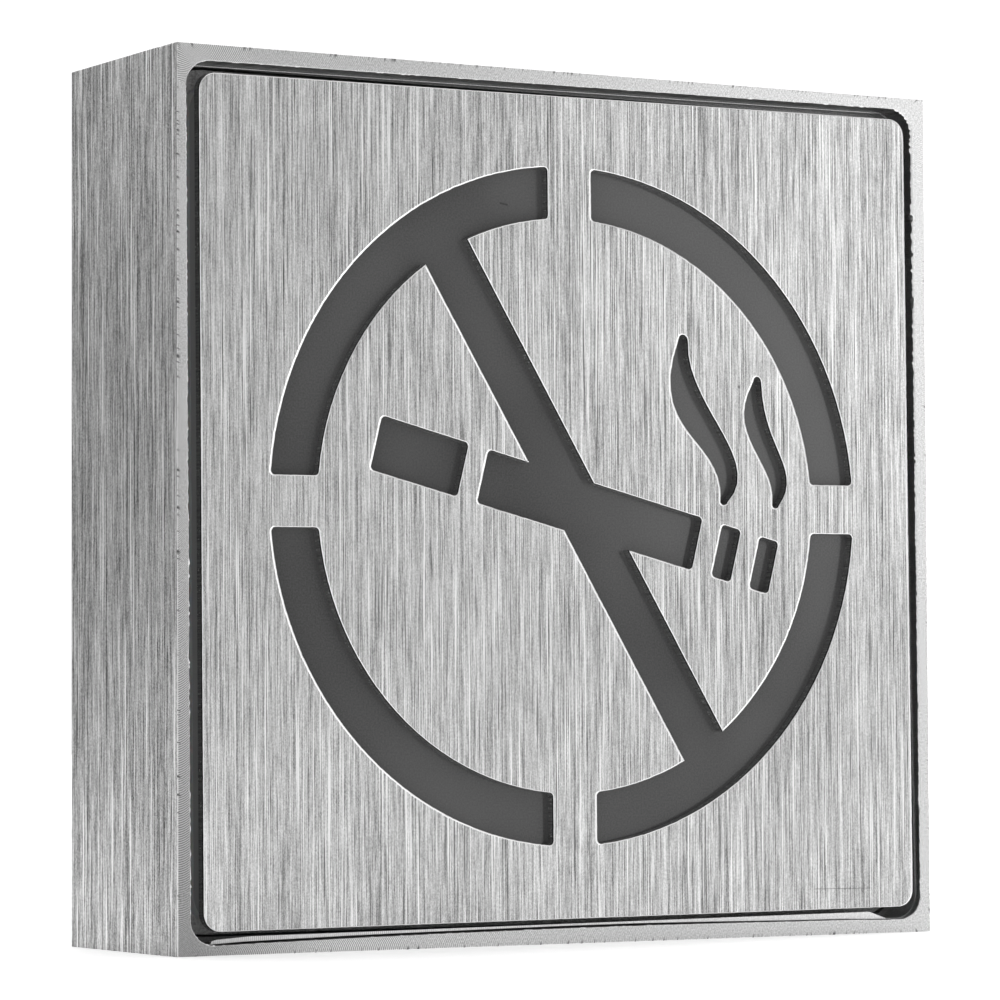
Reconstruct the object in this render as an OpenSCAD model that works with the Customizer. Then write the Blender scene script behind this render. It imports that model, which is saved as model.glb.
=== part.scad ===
// Illuminated no smoking sign for wall mounting, in millimetres.
// Each part is drawn lying on its back: X to the right, Y up the sign and Z out from the wall.
// on_wall() then stands it up, so that the wall is at Y = 0 and the sign looks along -Y.

/* [Housing] */
// Width and height of the square housing
body_w = 120; // [119:0.5:124]
// Depth of the housing, from the wall to its front rim
body_d = 33; // [33:0.5:40]
// Wall of the aluminium tube that the housing is cut from
wall = 2.2; // [2:0.1:2.4]
// Radius inside the corners of the tube
tube_r = 4; // [3:0.5:4.5]
// Rim left round the recess that is milled into the front of the tube
rim_w = 1.8; // [1.6:0.1:2]
// Radius inside the corners of the recess
recess_r = 3.5; // [2.5:0.5:4]
// How far the recess and the face plate in it are out of square, in degrees
face_skew = 0.3; // [0:0.1:0.3]

/* [Face plate] */
// Gap all round between the face plate and the rim
face_gap = 1.6; // [1.4:0.1:1.8]
// Thickness of the face plate
face_t = 1.5; // [1:0.1:2]
// Radius of the face plate's corners
face_r = 2.5; // [2:0.5:4]
// How far the face plate was fitted to the right of centre
face_shift = 0.1; // [0:0.05:0.3]

/* [Pictogram] */
// Outer radius of the prohibition ring
ring_r = 46.7; // [45:0.1:47]
// Width of the ring
ring_w = 7.1; // [6:0.1:8]
// Width of the four bridges that hold the plate inside the ring
bridge_w = 7; // [5:0.5:8]
// Width of the slash
slash_w = 7.5; // [6:0.5:9]
// Slope of the slash, in degrees below level
slash_slope = 59; // [50:1:62]
// Height of the cigarette
cig_h = 7.5; // [6:0.5:8]
// Slope of the cigarette, in degrees below level
cig_slope = 14.5; // [12:0.5:16]

/* [Lighting] */
// Rows and columns of light-emitting diodes
led_n = 4; // [3:1:4]
// Distance between neighbouring diodes
led_pitch = 22; // [21:0.5:23]
// Thickness of the smoked panel behind the face plate
smoked_t = 3; // [2:0.5:3]
// Thickness of the opal diffuser
opal_t = 2; // [1.5:0.5:2]

/* [Wall fixing] */
// Distance between the two slots for the wall screws, which suits a round wall box
slot_span = 60; // [58:1:64]
// Width of a slot
slot_w = 4.5; // [4:0.5:5]
// Length of a slot from end to end
slot_l = 10; // [8:1:10]
// Bore of the grommet that the cable comes in through
cable_d = 8.5; // [6:0.5:9]

/* [Hidden] */
$fn = 64;

// Room left round parts that slip into one another, and round screws in their tapped holes
fit = 0.3;
thread_gap = 0.05;

// How far a cut runs past the face it opens
over = 1;

// Inside of the tube
bore_w = body_w - 2 * wall;
shell_w = bore_w - 2 * fit;
shell_r = 4;

// Recess in the front of the tube, which was milled a little to the left and below the middle
recess_w = body_w - 2 * rim_w;
recess_x = -0.2;
recess_y = -0.15;

// Heights above the wall of the stack behind the face plate, from the front down
face_z = body_d - face_t;
smoked_z = face_z - smoked_t;
opal_z = smoked_z - opal_t;
seal_t = 1;
seal_z = opal_z - seal_t;
sheet_t = 1.5;
flange_z = seal_z - sheet_t;
tray_drop = 9.5;
tray_z = seal_z - tray_drop;
board_z = tray_z + sheet_t;
board_t = 1.6;
lamp_z = board_z + board_t;

// Widths of the stack, whose panels lie a little inside the recess
face_w = recess_w - 2 * face_gap;
panel_inset = 2.3;
panel_w = recess_w - 2 * panel_inset;
panel_r = 4;
tray_w = 100;
tray_r = 6;
board_w = 92;
board_r = 2;

// Studs on the back of the face plate, and the nuts that clamp the stack to it
stud_x = 52;
stud_r = 1.5;
stud_past = 3;
stud_l = face_z - flange_z + stud_past;
stud_hole_r = 1.8;
tray_hole_r = 2.15;
weld_r = 2.2;
weld_h = 0.5;
nut_af = 5.5;
nut_t = 2.4;

// Metric 3 countersunk screws through the housing, seen from the head
csk_head_r = 2.9;
csk_head_h = 1.5;
csk_l = 6;
csk_r = 1.5;
csk_socket_af = 2;
csk_socket_h = 1;

// Metric 3 pan head screws
pan_head_r = 2.8;
pan_head_h = 2.1;
pan_slot = 0.7;

// Shares of a pan head's height that its upright edge takes, and of its radius that its top keeps
pan_edge = 0.55;
pan_top = 0.7;

// Lips of the light tray and flanges of the back plate, with their screws
lip_l = 80;
lip_h = 12;
tray_screw_z = flange_z - 5;
tray_screw_x = 30;
plate_t = 2;
plate_lip_l = 70;
plate_lip_h = 10;
plate_screw_z = 6;
plate_screw_x = 20;
bend_r = 2.5;

// Middle of the ring, and of the marks inside it, measured from the middle of the face plate
ring_x = 0.25;
ring_y = 0.1;
marks_x = 0.15;

// Slash, cigarette and smoke, measured from the middle of the marks
cig_low = -3.5;
cut_r = 0.6;
cig_parts = [[-31.6, -17.8], [-14.6, 21], [24.4, 27.6], [30.9, 34.1]];
slash_shift = 1;
wisp_steps = 14;
wisp_tip_steps = 5;
big_wisp = [
  [[19.2, 23.4], [18.6, 14.3], [32, 6.9], [25.5, 0.9]],
  [[24.4, 0.9], [25.4, 10], [12, 9.8], [17.7, 23.6]]
];
small_wisp = [
  [[31.4, 17.9], [31.6, 8.4], [38.5, 5.7], [34.1, 0.5]],
  [[33.1, 0.6], [34, 6.8], [25, 10.1], [30.1, 18]]
];
wisp_tip = 1;
wisp_foot = 0.5;

// Light-emitting diodes and the board's fixings
led_size = [3.5, 2.8, 0.7];
led_window_r = 1.1;
led_well = 0.175;
board_screw_x = 40;
board_screw_l = 5;
bush_x = -40;
bush_hole_r = 2;
bush_wall = 0.8;
bush_lip_r = 3.4;
bush_lip_h = 0.8;
plug_size = [7, 6, 4.5];
plug_y = 5;
plug_port = 1;
plug_port_z = 1.9;
plug_latch_x = 2;
plug_latch_r = 0.8;
plug_latch_h = 1;

// Leads, which run at one height behind the tray
lead_z = 8.5;
lead_r = 0.8;
mains_r = 1;
lead_bend = 3;
core_r = 0.4;
core_l = 5;

// Driver on the back plate, sealed in one case
driver_x = -12;
driver_y = 32;
driver_size = [46, 24, 13];
driver_r = 2.5;
driver_edge_r = 1.5;
driver_ear = [6, 10, 2];
driver_port = 5;

// Terminal block below it
pole_pitch = 8;
pole_n = 3;
block_x = 14;
block_y = -34;
block_l = 16;
block_base_h = 3;
block_base_r = 1;
block_web = 1;
tower_inset = 0.4;
tower_reach = 2.4;
block_h = 12.5;
pole_barrel_r = 3;
insert_r = 2.1;
insert_bore_r = 1.3;
insert_l = 13;
clamp_x = 4;
clamp_r = 1.25;
clamp_l = 4;
clamp_gap = 0.7;
clamp_slot = 0.5;
clamp_slot_h = 0.6;
fixing_r = 0.8;
fixing_hole_r = 0.9;
fixing_head_r = 0.95;
fixing_head_h = 1.2;

// Earth screw and its tag
earth_x = -17;
earth_y = -21;
earth_r = 1.9;
earth_head_r = 3.3;
earth_head_h = 2.4;
tag_t = 0.8;
tag_hole_r = 2;
tag_ring_r = 3.4;
tag_neck_w = 3;
tag_barrel_x = 5.5;
tag_barrel_r = 1.8;
tag_barrel_h = 2.4;

// Cable grommet
grommet_x = -12;
grommet_y = -4;
grommet_wall = 1.6;
grommet_lip_r = 8;
grommet_lip_h = 1.8;

// Stands what was drawn lying on its back against the wall
module on_wall() {
  rotate([90, 0, 0]) children();
}

// Square outline with rounded corners
module rounded_square(w, r) {
  square([w - 2 * r, w], center = true);
  square([w, w - 2 * r], center = true);
  corners(w / 2 - r) circle(r);
}

// Four copies at the corners of a square
module corners(x) {
  for (sx = [-1, 1]) {
    for (sy = [-1, 1]) {
      translate([sx * x, sy * x]) children();
    }
  }
}

// Rounded oblong between two opposite corners
module rounded_bar(low, high, r) {
  translate([low.x + r, low.y]) square([high.x - low.x - 2 * r, high.y - low.y]);
  translate([low.x, low.y + r]) square([high.x - low.x, high.y - low.y - 2 * r]);
  for (x = [low.x + r, high.x - r]) {
    for (y = [low.y + r, high.y - r]) {
      translate([x, y]) circle(r);
    }
  }
}

// Two places on each of the top and bottom walls, with Z out of the wall's outer face
module at_side_walls(x, z) {
  for (side = [-1, 1]) {
    for (sx = [-1, 1]) {
      translate([sx * x, side * body_w / 2, z]) rotate([-90 * side, 0, 0]) children();
    }
  }
}

// Countersunk screw with a hexagon socket, its head flush with Z = 0
module csk_screw() {
  difference() {
    union() {
      translate([0, 0, -csk_l]) cylinder(r = csk_r, h = csk_l - csk_head_h / 2);
      translate([0, 0, -csk_head_h]) cylinder(r1 = csk_r, r2 = csk_head_r, h = csk_head_h);
    }
    translate([0, 0, -csk_socket_h]) hexagon(csk_socket_af, csk_socket_h + over);
  }
}

// Hole in the housing for a countersunk screw
module csk_hole() {
  translate([0, 0, -wall - over]) cylinder(r = csk_r + fit / 2, h = wall + 2 * over);
  translate([0, 0, -csk_head_h])
    cylinder(r1 = csk_r + thread_gap, r2 = csk_head_r + thread_gap, h = csk_head_h);
  cylinder(r = csk_head_r + thread_gap, h = over);
}

// Tapped hole for the same screw, deep enough for a lip inside the housing
module tapped_hole() {
  translate([0, 0, -wall - fit - bend_r - plate_t])
    cylinder(r = csk_r + thread_gap, h = plate_t + bend_r + fit + wall);
}

module hexagon(across_flats, h) {
  cylinder(r = across_flats / 2 / cos(30), h = h, $fn = 6);
}

// Pan head screw standing on Z = 0, with its thread below
module pan_screw(l, r = 1.5, head_r = pan_head_r, head_h = pan_head_h) {
  difference() {
    union() {
      translate([0, 0, -l]) cylinder(r = r, h = l + head_h / 2);
      cylinder(r = head_r, h = head_h * pan_edge);
      translate([0, 0, head_h * pan_edge])
        cylinder(r1 = head_r, r2 = head_r * pan_top, h = head_h * (1 - pan_edge));
    }
    for (turn = [0, 90]) {
      rotate([0, 0, turn]) translate([-head_r * pan_edge, -pan_slot / 2, head_h * (1 - pan_edge)])
        cube([2 * head_r * pan_edge, pan_slot, head_h]);
    }
  }
}

// Square aluminium tube, cut to length, with a recess milled into its front for the face plate
// and its walls drilled for the screws of the tray and the back plate
module housing_frame() {
  color("silver") on_wall() difference() {
    linear_extrude(body_d) difference() {
      square(body_w, center = true);
      rounded_square(bore_w, tube_r);
    }
    translate([recess_x, recess_y, opal_z]) rotate([0, 0, face_skew])
      linear_extrude(body_d - opal_z + over) rounded_square(recess_w, recess_r);
    at_side_walls(tray_screw_x, tray_screw_z) csk_hole();
    at_side_walls(plate_screw_x, plate_screw_z) csk_hole();
  }
}

// Place of the face plate, as it was fitted
module as_fitted() {
  translate([face_shift, 0, 0]) rotate([0, 0, face_skew]) children();
}

// Fillet in the corner between a bridge's side and the arc of radius r, for a cut that lies
// inside the arc (side = -1) or outside it (side = 1)
module ring_fillet(r, side) {
  x = bridge_w / 2;
  middle_r = r + side * cut_r;
  middle = [x + cut_r, sqrt(middle_r * middle_r - pow(x + cut_r, 2))];
  on_arc = middle * (r / middle_r);
  back_off = 0.3;
  corner = [x - back_off, sqrt(r * r - x * x) - side * back_off];
  difference() {
    polygon([middle, [x - back_off, middle.y], corner, on_arc * (1 - side * back_off / r)]);
    translate(middle) circle(cut_r);
  }
}

// One quarter of the ring's band, between two bridges
module ring_quarter() {
  difference() {
    circle(ring_r, $fn = 180);
    circle(ring_r - ring_w, $fn = 180);
    translate([bridge_w / 2 - 2 * ring_r, -ring_r]) square([2 * ring_r, 2 * ring_r]);
    translate([-ring_r, bridge_w / 2 - 2 * ring_r]) square([2 * ring_r, 2 * ring_r]);
    for (flip = [0, 1]) {
      mirror([flip, -flip]) {
        ring_fillet(ring_r, -1);
        ring_fillet(ring_r - ring_w, 1);
      }
    }
  }
}

// Slash from one quarter of the ring to the opposite one
module slash() {
  intersection() {
    circle(ring_r - ring_w / 2);
    rotate(-slash_slope) translate([0, slash_shift]) square([2 * ring_r, slash_w], center = true);
  }
}

module cigarette() {
  rotate(-cig_slope) {
    for (part = cig_parts) {
      rounded_bar([part[0], cig_low], [part[1], cig_low + cig_h], cut_r);
    }
  }
}

// Point at t on a cubic curve with control points p
function on_curve(p, t) =
  pow(1 - t, 3) * p[0] + 3 * t * pow(1 - t, 2) * p[1] + 3 * t * t * (1 - t) * p[2] + pow(t, 3) * p[3];
function curve(p, steps) = [for (i = [0 : steps - 1]) on_curve(p, i / steps)];

// Rounded end from a to b that bulges by a given height up or down
function rounded_end(a, b, bulge) =
  curve([a, a + [0, bulge], b + [0, bulge], b], wisp_tip_steps);

// Wisp of smoke between a right side that runs down and a left side that runs up
module wisp(sides) {
  right = sides[0];
  left = sides[1];
  polygon(concat(
    curve(right, wisp_steps),
    rounded_end(right[3], left[0], -wisp_foot),
    curve(left, wisp_steps),
    rounded_end(left[3], right[0], wisp_tip)
  ));
}

module pictogram() {
  translate([ring_x, ring_y]) {
    for (turn = [0, 90, 180, 270]) {
      rotate(turn) ring_quarter();
    }
  }
  translate([marks_x, 0]) {
    slash();
    cigarette();
    wisp(big_wisp);
    wisp(small_wisp);
  }
}

// Brushed aluminium plate with the pictogram cut through it
module face_plate() {
  color("gainsboro") on_wall() as_fitted() translate([0, 0, face_z])
    linear_extrude(face_t) difference() {
      rounded_square(face_w, face_r);
      pictogram();
    }
}

// Threaded studs welded to the back of the face plate
module face_studs() {
  color("goldenrod") on_wall() as_fitted() corners(stud_x) {
    translate([0, 0, face_z - stud_l]) cylinder(r = stud_r, h = stud_l);
    translate([0, 0, face_z - weld_h]) cylinder(r1 = stud_r, r2 = weld_r, h = weld_h);
  }
}

// Flat panel of the stack with a hole for each stud
module stack_panel(z, t, hole_r) {
  translate([0, 0, z]) linear_extrude(t) difference() {
    rounded_square(panel_w, panel_r);
    corners(stud_x) circle(hole_r);
  }
}

module smoked_panel() {
  color("dimgray") on_wall() as_fitted() stack_panel(smoked_z, smoked_t, weld_r + thread_gap);
}

module opal_diffuser() {
  color("white") on_wall() as_fitted() stack_panel(opal_z, opal_t, stud_hole_r);
}

// Frame of foam that fills the tube behind the recess and keeps light from leaking round the edge
module light_seal() {
  color("black") on_wall() translate([0, 0, seal_z]) linear_extrude(seal_t) difference() {
    rounded_square(shell_w, shell_r);
    rounded_square(tray_w - 2 * sheet_t, tray_r - sheet_t);
    as_fitted() corners(stud_x) circle(stud_hole_r);
  }
}

// Profile of a lip bent up from a sheet: X points out of the sign's edge, the sheet lies on Y = 0
module lip_profile(h, t) {
  difference() {
    translate([-bend_r, 0]) square([bend_r, h]);
    translate([-bend_r, bend_r]) circle(bend_r - t);
    translate([-bend_r - over, bend_r]) square([bend_r - t + over, h]);
    difference() {
      translate([-bend_r, -over]) square([bend_r + over, bend_r + over]);
      translate([-bend_r, bend_r]) circle(bend_r);
    }
  }
}

// Lips along the top and the bottom of a sheet, bent away from its outer face at height z,
// towards the front (forward = 1) or the wall (forward = -1)
module lips(l, h, t, z, forward) {
  for (side = [0, 1]) {
    mirror([0, side, 0]) translate([-l / 2, shell_w / 2, z]) rotate([90, 0, 90]) linear_extrude(l)
      mirror([0, forward < 0 ? 1 : 0]) lip_profile(h, t);
  }
}

// Light tray folded from sheet: a square pan for the board, with a flange that carries the
// stack and two lips that are screwed to the housing
module light_tray() {
  pan_w = tray_w - 2 * sheet_t;
  color("whitesmoke") on_wall() difference() {
    union() {
      translate([0, 0, tray_z]) linear_extrude(tray_drop) rounded_square(tray_w, tray_r);
      translate([0, 0, flange_z]) linear_extrude(sheet_t) {
        rounded_square(panel_w, panel_r);
        square([lip_l, shell_w - 2 * bend_r], center = true);
      }
      lips(lip_l, lip_h, sheet_t, seal_z, -1);
    }
    translate([0, 0, board_z]) linear_extrude(tray_drop) rounded_square(pan_w, tray_r - sheet_t);
    translate([0, 0, tray_z - over]) {
      corners(board_screw_x) cylinder(r = csk_r + thread_gap, h = sheet_t + 2 * over);
      translate([bush_x, 0, 0]) cylinder(r = bush_hole_r + bush_wall, h = sheet_t + 2 * over);
    }
    translate([0, 0, flange_z - over]) corners(stud_x)
      cylinder(r = tray_hole_r, h = sheet_t + 2 * over);
    at_side_walls(tray_screw_x, tray_screw_z) tapped_hole();
  }
}

module stud_nuts() {
  color("goldenrod") on_wall() as_fitted() corners(stud_x)
    translate([0, 0, flange_z - nut_t]) difference() {
      hexagon(nut_af, nut_t);
      translate([0, 0, -over]) cylinder(r = stud_r + thread_gap, h = nut_t + 2 * over);
    }
}

// Circuit board with an aluminium core, under white solder resist
module led_board() {
  color("honeydew") on_wall() translate([0, 0, board_z]) linear_extrude(board_t) difference() {
    rounded_square(board_w, board_r);
    corners(board_screw_x) circle(csk_r + fit);
    translate([bush_x, 0]) circle(bush_lip_r + thread_gap);
  }
}

// One diode: a moulded frame with a round well of phosphor in its top
module led() {
  difference() {
    translate([-led_size.x / 2, -led_size.y / 2, 0]) cube(led_size);
    translate([0, 0, led_size.z - led_well]) cylinder(r = led_window_r, h = over);
  }
}

module leds() {
  first = -(led_n - 1) / 2 * led_pitch;
  color("khaki") on_wall() translate([0, 0, lamp_z]) {
    for (i = [0 : led_n - 1]) {
      for (j = [0 : led_n - 1]) {
        translate([first + i * led_pitch, first + j * led_pitch, 0]) led();
      }
    }
  }
}

module led_board_screws() {
  color("goldenrod") on_wall() corners(board_screw_x)
    translate([0, 0, lamp_z]) pan_screw(board_screw_l);
}

// Two-pole connector on the board, entered from the bush
module board_connector() {
  color("ivory") on_wall() translate([bush_x, plug_y, lamp_z]) difference() {
    translate([-plug_size.x / 2, 0, 0]) cube(plug_size);
    for (side = [-1, 1]) {
      translate([side * plug_port, -over, plug_port_z]) rotate([-90, 0, 0])
        cylinder(r = core_r + thread_gap, h = core_l);
      translate([side * plug_latch_x, plug_size.y / 2, plug_size.z - plug_latch_h])
        cylinder(r = plug_latch_r, h = plug_latch_h + over);
    }
  }
}

// Rubber bush where the two leads pass through the tray
module lead_bush() {
  sleeve = bush_hole_r + bush_wall - thread_gap;
  color("black") on_wall() translate([bush_x, 0, 0]) difference() {
    union() {
      translate([0, 0, tray_z - bush_lip_h]) cylinder(r = bush_lip_r, h = bush_lip_h);
      translate([0, 0, tray_z - bush_lip_h]) cylinder(r = sleeve, h = sheet_t + 2 * bush_lip_h);
      translate([0, 0, board_z]) cylinder(r = bush_lip_r, h = bush_lip_h);
    }
    translate([0, 0, tray_z - bush_lip_h - over])
      cylinder(r = bush_hole_r, h = sheet_t + 2 * bush_lip_h + 2 * over);
  }
}

// Wire laid as straight runs joined by quarter bends. Each step is a run's length and the
// direction of the bend after it, as an angle about the run. The wire starts along Z.
module wire(steps, r, at = 0) {
  run = steps[at][0];
  cylinder(r = r, h = run);
  if (at < len(steps) - 1) {
    translate([0, 0, run]) rotate([0, 0, steps[at][1]]) {
      translate([lead_bend, 0, 0]) rotate([90, 0, 180])
        rotate_extrude(angle = 90) translate([lead_bend, 0]) circle(r);
      translate([lead_bend, 0, lead_bend]) rotate([0, 90, 0]) wire(steps, r, at + 1);
    }
  }
}

// Bare end of a wire's core, along Z
module core(l = core_l, r = core_r) {
  translate([0, 0, -l]) cylinder(r = r, h = l + over);
}

// Lead from the driver's low voltage end, down the plate, up through the bush to the board
module led_lead(side, port_y, down_l) {
  plug_z = lamp_z + plug_port_z;
  out = abs(bush_x + side * plug_port - (driver_x - driver_size.x / 2)) - lead_bend;
  rise = plug_z - lead_z - 2 * lead_bend;
  on_wall() translate([driver_x - driver_size.x / 2, port_y, lead_z]) rotate([0, -90, 0])
    wire([[out, -90], [down_l, 90], [rise, 0], [plug_y - lead_bend, 0]], lead_r);
}

module led_lead_red() {
  port_y = driver_y - driver_port;
  color("red") led_lead(1, port_y, port_y - 2 * lead_bend);
}

module led_lead_black() {
  port_y = driver_y + driver_port;
  color("black") led_lead(-1, port_y, port_y - 2 * lead_bend);
}

// Sealed driver in a moulded case, with an ear at each end
module driver() {
  size = driver_size;
  color("white") on_wall() translate([driver_x, driver_y, plate_t]) difference() {
    union() {
      intersection() {
        linear_extrude(size.z)
          rounded_bar([-size.x / 2, -size.y / 2], [size.x / 2, size.y / 2], driver_r);
        translate([-size.x / 2, 0, 0]) rotate([90, 0, 90]) linear_extrude(size.x)
          rounded_bar([-size.y / 2, -driver_r], [size.y / 2, size.z], driver_edge_r);
      }
      linear_extrude(driver_ear.z) rounded_bar(
        [-size.x / 2 - driver_ear.x, -driver_ear.y / 2],
        [size.x / 2 + driver_ear.x, driver_ear.y / 2], driver_edge_r);
    }
    for (side = [-1, 1]) {
      translate([side * (size.x + driver_ear.x) / 2, 0, -over])
        cylinder(r = csk_r + fit / 2, h = driver_ear.z + 2 * over);
    }
  }
}

module driver_screws() {
  color("goldenrod") on_wall() for (side = [-1, 1]) {
    translate([driver_x + side * (driver_size.x + driver_ear.x) / 2, driver_y, plate_t + driver_ear.z])
      pan_screw(driver_ear.z + plate_t - fit);
  }
}

// X of a terminal's pole, counted from the earth pole
function pole_x(i) = block_x + (i - (pole_n - 1) / 2) * pole_pitch;

// Lead from a pole up to the driver's mains end
module mains_lead(pole, port_y) {
  from_y = block_y + block_l / 2;
  into = pole_x(pole) - (driver_x + driver_size.x / 2) - lead_bend;
  up = port_y - lead_bend - from_y;
  on_wall() translate([pole_x(pole), from_y, lead_z]) rotate([-90, 0, 0]) {
    wire([[up, 180], [into, 0]], mains_r);
    core();
  }
}

module live_lead() {
  color("brown") mains_lead(2, driver_y + driver_port);
}

module neutral_lead() {
  color("royalblue") mains_lead(1, driver_y - driver_port);
}

// Lead from the earth pole to the tag on the plate
module earth_lead() {
  from_y = block_y + block_l / 2;
  up = earth_y - lead_bend - from_y;
  across = pole_x(0) - (earth_x + tag_barrel_x) - 2 * lead_bend;
  down = lead_z - lead_bend - plate_t - tag_t - fit;
  color("yellowgreen") on_wall() translate([pole_x(0), from_y, lead_z]) rotate([-90, 0, 0]) {
    wire([[up, 180], [across, -90], [down, 0]], mains_r);
    core();
  }
}

// Moulded terminal block: a base with a barrel and a screw tower for each pole
module terminal_block() {
  bore_z = lead_z - plate_t;
  color("white") on_wall() translate([block_x, block_y, plate_t]) difference() {
    union() {
      linear_extrude(block_base_h) rounded_bar(
        [-pole_n * pole_pitch / 2, -block_l / 2],
        [pole_n * pole_pitch / 2, block_l / 2], block_base_r);
      for (i = [0 : pole_n - 1]) {
        translate([pole_x(i) - block_x, 0, 0]) {
          translate([0, block_l / 2, bore_z]) rotate([90, 0, 0])
            cylinder(r = pole_barrel_r, h = block_l);
          translate([-pole_barrel_r, block_web - block_l / 2, 0])
            cube([2 * pole_barrel_r, block_l - 2 * block_web, bore_z]);
          translate([tower_inset - pole_barrel_r, -clamp_x - tower_reach, 0])
            cube([2 * (pole_barrel_r - tower_inset), 2 * (clamp_x + tower_reach), block_h]);
        }
      }
    }
    for (i = [0 : pole_n - 1]) {
      translate([pole_x(i) - block_x, 0, bore_z]) {
        rotate([90, 0, 0]) cylinder(r = insert_r + thread_gap, h = insert_l, center = true);
        rotate([90, 0, 0]) cylinder(r = insert_bore_r, h = block_l + 2 * over, center = true);
        for (side = [-1, 1]) {
          translate([0, side * clamp_x, 0]) cylinder(r = clamp_r + fit, h = block_h);
        }
      }
    }
    translate([-pole_pitch / 2, 0, -over])
      cylinder(r = fixing_hole_r, h = block_base_h + 2 * over);
  }
}

// Brass sleeve of each pole, tapped for its two clamping screws
module terminal_inserts() {
  color("gold") on_wall() for (i = [0 : pole_n - 1]) {
    translate([pole_x(i), block_y, lead_z]) difference() {
      rotate([90, 0, 0]) cylinder(r = insert_r, h = insert_l, center = true);
      rotate([90, 0, 0]) cylinder(r = insert_bore_r, h = insert_l + 2 * over, center = true);
      for (side = [-1, 1]) {
        translate([0, side * clamp_x, 0]) cylinder(r = clamp_r + thread_gap, h = insert_r + over);
      }
    }
  }
}

module terminal_screws() {
  color("goldenrod") on_wall() for (i = [0 : pole_n - 1]) {
    for (side = [-1, 1]) {
      translate([pole_x(i), block_y + side * clamp_x, lead_z + clamp_gap]) difference() {
        cylinder(r = clamp_r, h = clamp_l);
        translate([-clamp_r - over, -clamp_slot / 2, clamp_l - clamp_slot_h])
          cube([2 * (clamp_r + over), clamp_slot, clamp_slot_h + over]);
      }
    }
  }
}

module terminal_fixing_screw() {
  color("goldenrod") on_wall()
    translate([block_x - pole_pitch / 2, block_y, plate_t + block_base_h])
      pan_screw(block_base_h + plate_t - fit, fixing_r, fixing_head_r, fixing_head_h);
}

module earth_screw() {
  color("goldenrod") on_wall() translate([earth_x, earth_y, plate_t + tag_t])
    pan_screw(plate_t + tag_t - fit, earth_r, earth_head_r, earth_head_h);
}

// Ring tongue with an upright barrel, crimped on the earth lead
module earth_tag() {
  color("silver") on_wall() translate([earth_x, earth_y, plate_t]) difference() {
    union() {
      cylinder(r = tag_ring_r, h = tag_t);
      translate([0, -tag_neck_w / 2, 0]) cube([tag_barrel_x, tag_neck_w, tag_t]);
      translate([tag_barrel_x, 0, 0]) cylinder(r = tag_barrel_r, h = tag_t + tag_barrel_h);
    }
    translate([0, 0, -over]) cylinder(r = tag_hole_r, h = tag_t + 2 * over);
    translate([tag_barrel_x, 0, tag_t]) cylinder(r = mains_r + thread_gap, h = tag_barrel_h + over);
  }
}

// Rubber grommet, flush with the back of the plate
module cable_grommet() {
  bore_r = cable_d / 2;
  color("black") on_wall() translate([grommet_x, grommet_y, 0]) difference() {
    union() {
      cylinder(r = bore_r + grommet_wall, h = plate_t);
      translate([0, 0, plate_t]) cylinder(r = grommet_lip_r, h = grommet_lip_h);
    }
    translate([0, 0, -over]) cylinder(r = bore_r, h = plate_t + grommet_lip_h + 2 * over);
  }
}

// Slot for a wall screw, along X
module wall_slot() {
  half = (slot_l - slot_w) / 2;
  translate([-half, -slot_w / 2]) square([2 * half, slot_w]);
  for (side = [-1, 1]) {
    translate([side * half, 0]) circle(slot_w / 2);
  }
}

// Plate that closes the back and is screwed to the wall, with lips that hold the housing
module back_plate() {
  color("lightgray") on_wall() difference() {
    union() {
      linear_extrude(plate_t) intersection() {
        rounded_square(shell_w, shell_r);
        union() {
          square([shell_w, shell_w - 2 * bend_r], center = true);
          for (side = [-1, 1]) {
            translate([side * (plate_lip_l + shell_w) / 2, 0]) square(shell_w, center = true);
          }
        }
      }
      lips(plate_lip_l, plate_lip_h, plate_t, 0, 1);
    }
    at_side_walls(plate_screw_x, plate_screw_z) tapped_hole();
    translate([0, 0, -over]) linear_extrude(plate_t + 2 * over) {
      for (side = [-1, 1]) {
        translate([side * slot_span / 2, 0]) wall_slot();
        translate([driver_x + side * (driver_size.x + driver_ear.x) / 2, driver_y])
          circle(csk_r + thread_gap);
      }
      translate([grommet_x, grommet_y]) circle(cable_d / 2 + grommet_wall);
      translate([earth_x, earth_y]) circle(earth_r + thread_gap);
      translate([block_x - pole_pitch / 2, block_y]) circle(fixing_r + thread_gap);
    }
  }
}

module tray_screws() {
  color("darkgray") on_wall() at_side_walls(tray_screw_x, tray_screw_z) csk_screw();
}

module housing_screws() {
  color("darkgray") on_wall() at_side_walls(plate_screw_x, plate_screw_z) csk_screw();
}

housing_frame();
face_plate();
face_studs();
smoked_panel();
opal_diffuser();
light_seal();
light_tray();
stud_nuts();
led_board();
leds();
led_board_screws();
board_connector();
lead_bush();
led_lead_red();
led_lead_black();
driver();
driver_screws();
live_lead();
neutral_lead();
earth_lead();
terminal_block();
terminal_inserts();
terminal_screws();
terminal_fixing_screw();
earth_screw();
earth_tag();
cable_grommet();
back_plate();
tray_screws();
housing_screws();
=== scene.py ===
import math

import bmesh
import bpy
import numpy as np
from mathutils import Matrix, Vector
from mathutils.geometry import tessellate_polygon


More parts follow.
